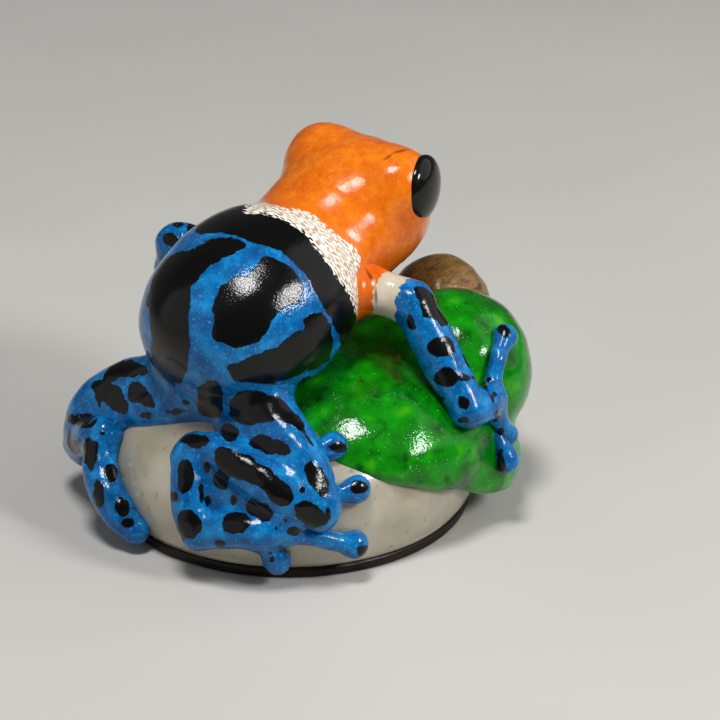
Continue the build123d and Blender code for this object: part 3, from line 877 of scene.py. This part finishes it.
def make_limb(name, node, material, grids, attributes):
    """Make a limb of closed skins with its paint's attributes, and let it stand for its node."""
    piece = make_piece(name, material, grids, attributes)
    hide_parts(node)
    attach(piece, "root")


def make_blue_limb(node, grids, outlines, ovals, blots, girth):
    """Make a limb that is brushed blue, and find how far each of its skins lies inside black paint."""
    blacks = [painted(grid, outlines, ovals, blots, girth) for grid in grids]
    make_limb("painted_" + node, node, blue_enamel, grids, {"black": blacks})


def arm_root_coat(tree, where):
    """Leave cream nut bare between the orange of the neck and the blue, which both end in brushed,
    ragged edges, with painted shade darkening the creases."""
    cloud_width, stroke_width, brush_width = 3 * mm, 1.3 * mm, 0.7 * mm
    clouds, strokes, brush = (
        add_node(tree, "TexNoise", {"Scale": 1 / width, "Detail": detail, "Vector": where})
        for width, detail in ((cloud_width, 4.0), (stroke_width, 5.0), (brush_width, 3.0))
    )
    tone = add_node(tree, "ValToRGB", {"stops": ((0.3, "#BBAD95"), (0.6, "#D2C8B4")), "Fac": clouds})
    orange = add_node(tree, "ValToRGB", {"stops": ((0.3, "#CC540A"), (0.7, "#E06B0F")), "Fac": strokes})
    blue, relief = blue_coat(tree, where)
    for name, paint in (("orange", orange), ("blue", blue)):
        depth = add_node(tree, "Attribute", {"attribute_name": name}, "Fac")
        frayed = add_node(tree, "Math", {"operation": "MULTIPLY_ADD", 0: brush, 1: 1.2, 2: depth})
        tone = paint_over(tree, tone, paint, frayed, (0.54, 0.66))
    return shade_creases(tree, tone), relief


forearm_outline_px = (
    (
        (414, 289), (423, 289), (435, 297), (444, 309), (448, 320), (447, 325), (441, 326), (437, 319),
        (431, 317), (423, 317), (421, 307), (419, 300), (415, 294),
    ),
    ((455, 325), (461, 334), (466, 346), (470, 365), (466, 366), (461, 349), (456, 337)),
)
forearm_ovals_px = (
    (411, 324, 8, 3.5, 60), (441, 347, 14, 11, 0), (446, 378, 11.5, 10, 0), (465, 378, 5, 2.5, 0),
    (464, 402, 6.5, 7, 0), (443, 398, 2.5, 2.5, 0), (464, 420, 5.5, 3, 0),
)
shoulder_orange_px = (
    (350, 240), (404, 244), (406, 262), (396, 267), (386, 272), (378, 280), (374, 288), (373, 304),
    (366, 330), (340, 330), (340, 280),
)
# Thin lines of painted shade along the armpit's creases, which the upper arm's skin doesn't carve.
armpit_crease_shades_px = ((370, 276, 9, 1.6, 58), (376, 296, 9, 1.3, 88))
left_forearm_blots = (
    (16.6, 0.5, 24.0, 1.5), (17.4, -0.9, 19.2, 1.3), (18.4, 0.9, 20.6, 1.1), (19.0, -0.4, 15.6, 1.2),
)
left_arm_ovals_px = ((171, 239, 7.5, 7.5, 0), (193, 228, 7, 4, 0), (178, 225, 5, 3, 0))
right_palm_rows = limb_rows(saddle, right_palm_table, palm_width)
left_palm_rows = limb_rows(nut_dome, left_palm_table, palm_width)
arm_root = make_material("varnished_nut_with_paint_edges", varnish, arm_root_coat, brushed_relief)
for side, label, elbow, palm_rows, outlines, ovals, crease_shades, blots in (
    (-1, "right", right_elbow, right_palm_rows, forearm_outline_px, forearm_ovals_px, armpit_crease_shades_px, ()),
    (1, "left", left_elbow, left_palm_rows, (), left_arm_ovals_px, (), left_forearm_blots),
):
    shoulder = neck + shoulder_out * (side, 1, 1)
    length = np.linalg.norm(elbow - shoulder)
    upper_rows = straight_rows(shoulder, elbow, upper_arm_shares, upper_arm_width)
    fore_rows = straight_rows(elbow, palm_rows[0, :3], forearm_shares, forearm_width)
    upper = sleeve(upper_rows, arm_side, upper_arm_rings, upper_arm_spokes)
    upper = swelled(upper, [fore_rows], arm_blend, shoulder_blend)
    along = (upper - shoulder) @ (elbow - shoulder) / length
    orange = left_orange_reach - along if side > 0 else seen_patches(upper, (shoulder_orange_px,), ())
    attributes = {
        "orange": [orange],
        "blue": [along - (left_blue_start if side > 0 else length - right_blue_reach)],
        "black": [painted(upper, outlines, ovals, blots, arm_girth)],
        # Painted shade along the armpit's creases.
        "crease": [painted(upper, (), crease_shades, (), arm_girth)],
    }
    make_limb(label + "_bare_upper_arm", label + "_upper_arm", arm_root, [upper], attributes)
    fore = sleeve(fore_rows, arm_side, forearm_rings, forearm_spokes)
    fore = swelled(fore, [upper_rows, palm_rows], arm_blend)
    make_blue_limb(label + "_forearm", [fore], outlines, ovals, blots, forearm_width / 2)

# Hands: a small palm and three fingers with round pads, spread over the carving that carries them and
# painted in one go with the forearm, with a black touch on each finger.

finger_width = 1.8
finger_pad_width = 2.0
right_finger_tables = (
    (block, ((68, 0.23, 0.9), (76, 0.47, 0.8), (92, 0.64, 0.7))),
    (saddle, ((110, 0.45, 0.9), (115, 0.22, 0.8), (118, 0.06, 0.7))),
    (ledge, ((95, 0.72, 0.8), (94, 0.54, 0.8), (93, 0.30, 0.7))),
)
left_finger_tables = (
    (nut_dome, ((-103, 0.38, 0.9), (-113, 0.45, 0.8), (-123, 0.48, 0.7))),
    (nut_dome, ((-104, 0.35, 0.9), (-112, 0.22, 0.8), (-118, 0.11, 0.7))),
    (nut_dome, ((-98, 0.41, 0.9), (-100, 0.22, 0.8), (-102, 0.05, 0.7))),
)
digit_side = (0.3, 0.5, 1)
digit_blend = 1.3
digit_rings, digit_spokes = 60, 60
pad_rings, pad_spokes = 40, 60
palm_rings, palm_spokes = 60, 90
flat_side = (0, 0, 1)
right_hand_ovals_px = (
    (483, 386, 8, 2.5, 55), (489, 400, 5, 5, 0), (488, 411, 3.5, 3.5, 0), (477, 369, 2, 2, 0),
    (489, 379, 2, 2, 0), (494, 395, 2, 2, 0), (497, 418, 2, 4, 0), (501, 432, 2, 3, 0),
    (501, 462, 4.5, 11, 0), (505, 331, 8, 4.5, 45),
)
left_hand_blots = ((18.9, -4.2, 12.6, 1.1), (17.6, -8.6, 13.0, 0.9), (19.2, -5.6, 9.0, 0.9))


def digit_grids(dome, table, width, pad_width, carriers):
    """Give a digit lying along a dome and the round pad at its tip, as two closed skins. The digit swells
    into the pad and into what carries it."""
    rows = limb_rows(dome, table, width)
    tip = rows[-1, :3]
    pad = bead_grid(tip, (1, 0, 0), pad_width / 2, pad_width / 2, pad_rings, pad_spokes)
    pad_rows = [(*tip, pad_width / 2), (*(tip + 0.01), pad_width / 2)]
    digit = sleeve(rows, digit_side, digit_rings, digit_spokes)
    return [swelled(digit, [pad_rows, *carriers], digit_blend), pad]


for label, palm_rows, tables, ovals, blots in (
    ("right", right_palm_rows, right_finger_tables, right_hand_ovals_px, ()),
    ("left", left_palm_rows, left_finger_tables, (), left_hand_blots),
):
    fingers = [limb_rows(dome, table, finger_width) for dome, table in tables]
    grids = [swelled(sleeve(palm_rows, flat_side, palm_rings, palm_spokes), fingers, digit_blend)]
    for dome, table in tables:
        grids += digit_grids(dome, table, finger_width, finger_pad_width, [palm_rows])
    make_blue_limb(label + "_hand", grids, (), ovals, blots, palm_width / 2)

# Legs: the right one folded on itself beside the rump, the left one drawn up round the back of the nut,
# both carved in relief on the nut and painted blue with black spots.

thigh_width = 5.7
shin_width = 4.4
instep_width = 3.9
right_thigh_table = (
    (-12, 0.86, 0.55, 1.05), (8, 0.83, 0.8, 1.1), (25, 0.79, 0.7, 1.02), (39, 0.69, 0.6, 0.93),
    (47, 0.53, 0.6, 0.87), (51, 0.32, 0.6, 0.74),
)
right_shin_table = (
    (51, 0.21, 0.75, 0.86), (43, 0.32, 0.8, 1.02), (33, 0.44, 0.8, 1.02), (21, 0.53, 0.8, 0.93),
    (11, 0.54, 0.8, 0.77),
)
left_thigh_table = (
    (-8, 0.86, 0.45, 1.0), (-25, 0.8, 0.4, 1.0), (-38, 0.68, 0.4, 0.98), (-45, 0.5, 0.5, 0.98),
    (-48, 0.27, 0.62, 1.0), (-50, 0.03, 0.62, 0.95),
)
left_shin_table = (
    (-50, 0.0, 0.75, 0.86), (-42, 0.14, 0.8, 0.95), (-35, 0.26, 0.8, 0.91), (-30, 0.33, 0.8, 0.77),
)
fold_web_table = (
    (16, 0.72, -0.1, 0.8), (30, 0.66, -0.1, 0.95), (42, 0.54, 0.0, 0.85), (48, 0.42, 0.0, 0.7),
)
rump_web_table = (
    (8, 0.8, -0.1, 0.8), (-12, 0.74, -0.1, 0.9), (-24, 0.66, -0.1, 0.95), (-35, 0.55, 0.0, 0.9),
    (-43, 0.4, 0.1, 0.8),
)
right_instep_table = (
    (9, 0.47, 0.8, 0.87), (12, 0.33, 0.75, 0.92), (14, 0.16, 0.7, 0.92), (17, 0.0, 0.7, 0.82),
)
left_instep_table = (
    (-31, 0.3, 0.8, 0.82), (-26, 0.15, 0.8, 0.95), (-20, 0.0, 0.75, 1.0), (-14, -0.14, 0.7, 0.9),
    (-9, -0.24, 0.7, 0.77),
)
leg_girth = 2.6
leg_blend = 1.6
rump_blend = 3.0
leg_rings, leg_spokes = 180, 140
right_shin_outlines_px = (
    (
        (215, 452), (222, 447), (240, 452), (258, 462), (275, 474), (288, 486), (292, 497), (289, 505),
        (281, 507), (271, 499), (262, 488), (245, 482), (228, 474), (217, 463),
    ),
)
right_shin_ovals_px = (
    (195, 440, 13, 7, 0), (185, 476, 9, 17, 0), (207, 467, 3.5, 5, 0), (221, 481, 7, 10, 0),
    (259, 510, 14, 9, 30), (311, 515, 17, 11, 35), (285, 520, 3, 3, 0), (295, 531, 8, 4.5, 0),
)
left_column_ovals_px = (
    (91, 453, 8, 15, 0), (111, 472, 7, 9, 0), (99, 493, 5, 14, 0), (122, 507, 7, 9, 0),
)
left_thigh_blots = ((15.5, 12.2, 13.0, 1.8), (17.6, 13.4, 8.6, 1.6), (12.0, 14.6, 15.6, 1.3))
right_thigh_rows = limb_rows(nut_dome, right_thigh_table, thigh_width)
right_shin_rows = limb_rows(nut_dome, right_shin_table, shin_width)
right_instep_rows = limb_rows(nut_dome, right_instep_table, instep_width)
left_thigh_rows = limb_rows(nut_dome, left_thigh_table, thigh_width)
left_shin_rows = limb_rows(nut_dome, left_shin_table, shin_width)
left_instep_rows = limb_rows(nut_dome, left_instep_table, instep_width)
fold_web_rows = limb_rows(nut_dome, fold_web_table, shin_width)
rump_web_rows = limb_rows(nut_dome, rump_web_table, thigh_width)
right_leg_px = (right_thigh_outlines_px + right_shin_outlines_px, right_thigh_ovals_px + right_shin_ovals_px)
left_thigh_px = (left_thigh_outlines_px, left_thigh_ovals_px + right_thigh_ovals_px[:1])
left_shin_px = (left_thigh_outlines_px, left_thigh_ovals_px + left_column_ovals_px)


def relief_grids(courses, joined, rings, spokes, trunk_width=0.0):
    """Give the skins of limbs carved in relief, each swelling into all that it joins but itself."""
    grids = []
    for rows in courses:
        others = [other for other in joined if other is not rows]
        grids.append(swelled(sleeve(rows, flat_side, rings, spokes), others, leg_blend, trunk_width))
    return grids


for node, courses, neighbours, patches, blots in (
    ("right_thigh", (right_thigh_rows, fold_web_rows), (right_shin_rows,), right_leg_px, ()),
    ("right_shin", (right_shin_rows,), (right_thigh_rows, fold_web_rows, right_instep_rows), right_leg_px,
     ()),
    ("left_thigh", (left_thigh_rows, rump_web_rows), (left_shin_rows, right_thigh_rows), left_thigh_px,
     left_thigh_blots),
    ("left_shin", (left_shin_rows,), (left_thigh_rows, left_instep_rows), left_shin_px, ()),
):
    grids = relief_grids(courses, (*neighbours, *courses), leg_rings, leg_spokes, rump_blend)
    make_blue_limb(node, grids, *patches, blots, leg_girth)

# Feet: a long instep and a sole, and four toes with round pads spread over the nut and the mound, the
# toe tips touched with black.

toe_width = 2.0
toe_pad_width = 2.3
right_sole_table = (
    (17, 0.0, 0.7, 0.76), (25, 0.06, 0.7, 0.97), (33, 0.09, 0.7, 1.0), (41, 0.1, 0.7, 0.87),
)
sole_web_table = (
    (14, 0.4, -0.3, 1.0), (23, 0.36, -0.5, 1.15), (33, 0.28, -0.4, 1.05), (40, 0.22, -0.2, 0.9),
)
right_toe_tables = (
    ((31, 0.07, 1.0), (36, -0.09, 0.8), (39, -0.22, 0.7)),
    ((40, 0.1, 1.0), (51, 0.0, 0.8), (61, -0.1, 0.7)),
    ((48, 0.28, 1.0), (57, 0.32, 0.8), (63, 0.34, 0.7)),
    ((46, 0.53, 1.0), (54, 0.59, 0.8), (59, 0.61, 0.7)),
)
left_toe_tables = (
    ((-15, -0.11, 1.0), (-25, -0.2, 0.8), (-33, -0.26, 0.7)),
    ((-21, -0.01, 1.0), (-31, -0.1, 0.8), (-39, -0.17, 0.7)),
    ((-48, 0.02, 0.6), (-60, 0.06, 0.7), (-67, 0.08, 0.7)),
    ((-46, 0.3, 0.6), (-58, 0.36, 0.7), (-64, 0.38, 0.7)),
)
foot_rings, foot_spokes = 110, 110
right_foot_ovals_px = (
    (201, 493, 3.5, 10, 0), (207, 501, 2.5, 4, 0), (173, 496, 4, 4.5, 0), (189, 524, 12, 14, 0),
    (180, 541, 4, 3, 0), (236, 522, 15, 11, 0), (234, 500, 4, 6, 0), (220, 544, 5.5, 4.5, 0),
    (271, 536, 2.5, 4, 0), (276, 528, 2, 3, 0), (270, 553, 2, 2, 0), (272, 559, 2, 2, 0),
    (364, 551, 7, 6, 0), (359, 487, 9, 8, 0), (336, 447, 9, 6, 0),
)
left_foot_ovals_px = ((111, 472, 7, 9, 0), (99, 493, 5, 14, 0), (122, 507, 7, 9, 0), (128, 523, 7, 4, 0))
left_foot_blots = ((18.4, 8.4, 6.6, 1.0), (18.0, 8.0, 9.6, 1.0), (11.5, 16.4, 3.4, 0.9))
right_sole_rows = limb_rows(nut_dome, right_sole_table, instep_width)
sole_web_rows = limb_rows(nut_dome, sole_web_table, instep_width)
for label, courses, neighbours, toes, ovals, blots in (
    ("right", (right_instep_rows, right_sole_rows, sole_web_rows), (right_shin_rows,), right_toe_tables,
     right_foot_ovals_px + right_shin_ovals_px, ()),
    ("left", (left_instep_rows,), (left_shin_rows,), left_toe_tables,
     left_foot_ovals_px + left_column_ovals_px, left_foot_blots),
):
    grids = relief_grids(courses, (*courses, *neighbours), foot_rings, foot_spokes)
    for toe in toes:
        grids += digit_grids(nut_dome, toe, toe_width, toe_pad_width, courses)
    make_blue_limb(label + "_foot", grids, (), ovals, blots, instep_width / 2)

# Floor, lamps and camera: a plain pale studio floor, two small lamps whose images are the highlights on
# the varnish, two broad weak ones that fill the shadows, and the camera at the photograph's place.

floor_size = 3.0
world_strength = 0.08
lamp_aim = Vector((0, 0, 0.015))

# Each lamp has a name, a place, a power in watts and a width, in metres.
lamps = (
    ("top_lamp", (-0.055, 0.11, 0.43), 1.25, 0.115),
    ("side_lamp", (-0.33, -0.07, 0.26), 0.9, 0.10),
    ("back_lamp", (0.22, 0.42, 0.20), 0.5, 0.7),
    ("front_lamp", (-0.28, -0.42, 0.34), 0.85, 0.7),
)
lens_length = 155.1
sensor_width = 36.0
nearest_seen, farthest_seen = 0.01, 10.0


def pale_clouds(tree, where):
    """Cloud the paper so faintly that it looks plain, with no gloss to mirror the object."""
    cloud_width = 50 * mm
    clouds = add_node(tree, "TexNoise", {"Scale": 1 / cloud_width, "Vector": where})
    return add_node(tree, "ValToRGB", {"stops": ((0.3, "#C0BEB9"), (0.7, "#C5C3BE")), "Fac": clouds}), None


half = floor_size / 2
floor_mesh = bpy.data.meshes.new("studio_floor")
floor_corners = [(-half, -half, 0), (half, -half, 0), (half, half, 0), (-half, half, 0)]
floor_mesh.from_pydata(floor_corners, [], [(0, 1, 2, 3)])
paper_finish = {"Roughness": 0.9, "Specular IOR Level": 0.1}
floor_mesh.materials.append(make_material("matt_pale_paper", paper_finish, pale_clouds))
floor = bpy.data.objects.new("studio_floor", floor_mesh)
bpy.context.scene.collection.objects.link(floor)

world = bpy.data.worlds.new("studio_light")
world.use_nodes = True
sky = world.node_tree.nodes["Background"].inputs
sky["Color"].default_value = colour("#FFFFFF")
sky["Strength"].default_value = world_strength
bpy.context.scene.world = world

for name, place, power, width in lamps:
    lamp = bpy.data.lights.new(name, "AREA")
    lamp.shape, lamp.energy, lamp.size = "DISK", power, width
    holder = bpy.data.objects.new(name, lamp)
    holder.location = place
    holder.rotation_euler = (lamp_aim - Vector(place)).to_track_quat("-Z", "Y").to_euler()
    bpy.context.scene.collection.objects.link(holder)

right, up, back = view_axes()
camera_data = bpy.data.cameras.new("photo_camera")
camera_data.lens, camera_data.sensor_width = lens_length, sensor_width
camera_data.clip_start, camera_data.clip_end = nearest_seen, farthest_seen
camera = bpy.data.objects.new("photo_camera", camera_data)
turned = Matrix(np.stack([right, up, back], 1).tolist()).to_4x4()
camera.matrix_world = Matrix.Translation((view_target + back * view_distance) * mm) @ turned
bpy.context.scene.collection.objects.link(camera)
bpy.context.scene.camera = camera
bpy.context.scene.view_settings.view_transform = "Standard"
